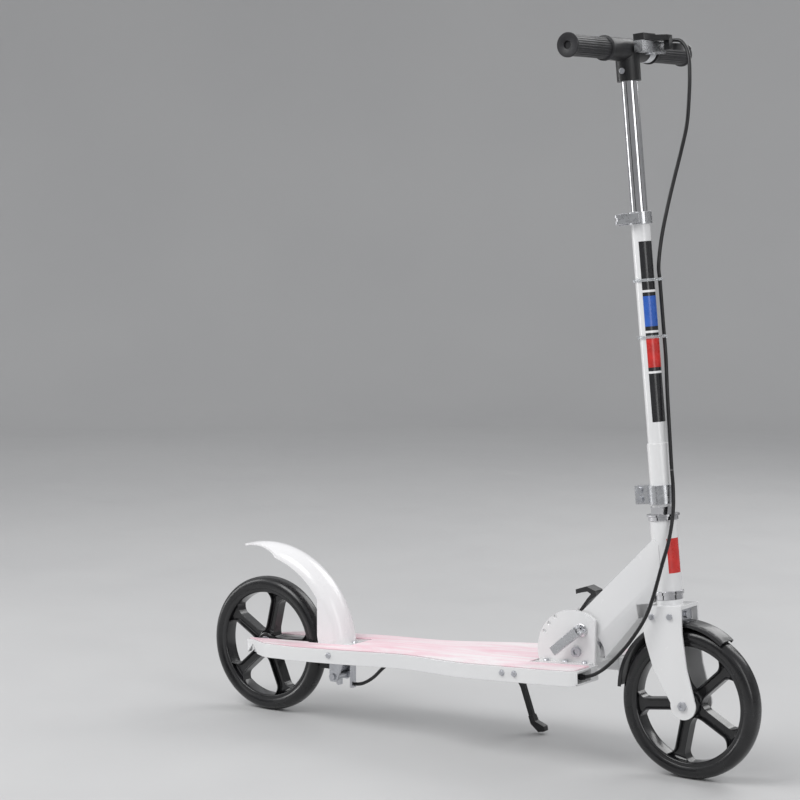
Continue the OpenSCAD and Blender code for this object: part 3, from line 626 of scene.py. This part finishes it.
GROUND = Matrix.Identity(4)
lower_points = [STEM @ Vector(p) for p in NECK] + [Vector((REAR_X + x, y, z)) for x, y, z in PORT]
lower_curve = curve_points(lower_points, 8)
halfway = min(range(len(lower_curve)), key=lambda i: abs(lower_curve[i].z - 236))
make("cable_under_look", *sweep(curve_points(UNDER, 8), CABLE_R), DECK, "deck", JACKET, 60, slot="cable_jacket",
     replaces=("cable_under",))


def bent(name, points, at, replaced=()):
    """Cable run spanning two bodies, swept through world points and attached to neither."""
    world = [at @ p for p in points]
    obj = make(name, *sweep(world, CABLE_R, 14), GROUND, None, JACKET, 60, slot="cable_jacket", replaces=replaced)
    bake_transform(obj)


bent("cable_upper_look", curve_points(UPPER, 8), STEM, ("cable_upper",))
make("cable_stem_look", *sweep(curve_points(ALONG_STEM, 8), CABLE_R, 14), STEM, "steering", JACKET, 60,
     slot="cable_jacket", replaces=("cable_stem",))
bent("cable_neck_look", lower_curve[:halfway + 1], GROUND, ("cable_lower",))
bent("cable_port_look", lower_curve[halfway:], GROUND)

# ---------- camera, light and floor ----------
cam_data = bpy.data.cameras.new("camera")
cam_data.lens = 106.53
cam_data.sensor_width = 36
cam = bpy.data.objects.new("camera", cam_data)
bpy.context.scene.collection.objects.link(cam)
cam.location = (1.8355, -2.723, 0.785)
cam.rotation_mode = "QUATERNION"
cam.rotation_quaternion = Vector((-0.5805, 0.8091, -0.0917)).to_track_quat("-Z", "Y")
bpy.context.scene.camera = cam


def area(name, where, target, size, power, size_y=None):
    data = bpy.data.lights.new(name, "AREA")
    data.shape = "RECTANGLE"
    data.size = size
    data.size_y = size_y or size
    data.energy = power
    obj = bpy.data.objects.new(name, data)
    bpy.context.scene.collection.objects.link(obj)
    obj.location = where
    obj.rotation_mode = "QUATERNION"
    obj.rotation_quaternion = (Vector(target) - Vector(where)).to_track_quat("-Z", "Y")


area("key", (-0.6, -1.9, 2.6), (0.05, 0, 0.35), 1.6, 44)
area("fill", (2.6, -0.9, 1.4), (0.1, 0, 0.4), 1.4, 20, 2.2)
area("back", (0.4, 2.4, 2.0), (0, 0, 0.4), 1.8, 26)
area("strip", (-2.4, -0.8, 1.1), (0, 0, 0.4), 0.5, 16, 2.2)

scene = bpy.context.scene
scene.view_settings.view_transform = "Standard"
world = bpy.data.worlds.new("world")
bpy.context.scene.world = world
world.use_nodes = True
world.node_tree.nodes["Background"].inputs["Color"].default_value = (0.93, 0.94, 0.96, 1)
world.node_tree.nodes["Background"].inputs["Strength"].default_value = 0.62


def floor_material():
    m = Maker("floor_paint", (0.55, 0.55, 0.55), 0.6)
    tone(m, (0.54, 0.54, 0.542), (0.56, 0.56, 0.56), 1.5)
    gloss_range(m, 0.52, 0.68, 6)
    return m.mat


# Seamless bowl: a flat floor that curves up into a low wall all round
bowl = [(0.01, 0), (4300, 0)] + arc(4300, 1500, 1500, -88, 0, 14) + [(5800, 2600)]
floor = make("floor", *lathe_z(bowl, 96), GROUND, None, floor_material(), 60)


def flag_material():
    m = Maker("flag_cloth", (0.015, 0.015, 0.015), 0.9)
    tone(m, (0.012, 0.012, 0.012), (0.02, 0.02, 0.02), 9)
    gloss_range(m, 0.85, 0.95, 6)
    return m.mat


FLAG = flag_material()
FLAG_UP = Vector((0, 0, 1700))
# Dark cards beside the camera, which draw the dark lines in chrome and gloss
for k, (turn, distance, width) in enumerate([(-100, 2200, 420), (-8, 2000, 380), (75, 2400, 420)]):
    a = math.radians(turn)
    centre = Vector((distance * math.cos(a), distance * math.sin(a), 0))
    side = Vector((-math.sin(a), math.cos(a), 0)) * width / 2
    corners = [centre - side, centre + side, centre + side + FLAG_UP, centre - side + FLAG_UP]
    card = make("flag_%d" % k, corners, [(0, 1, 2, 3)], GROUND, None, FLAG)
    card.visible_camera = False
    card.visible_diffuse = False
    card.visible_shadow = False
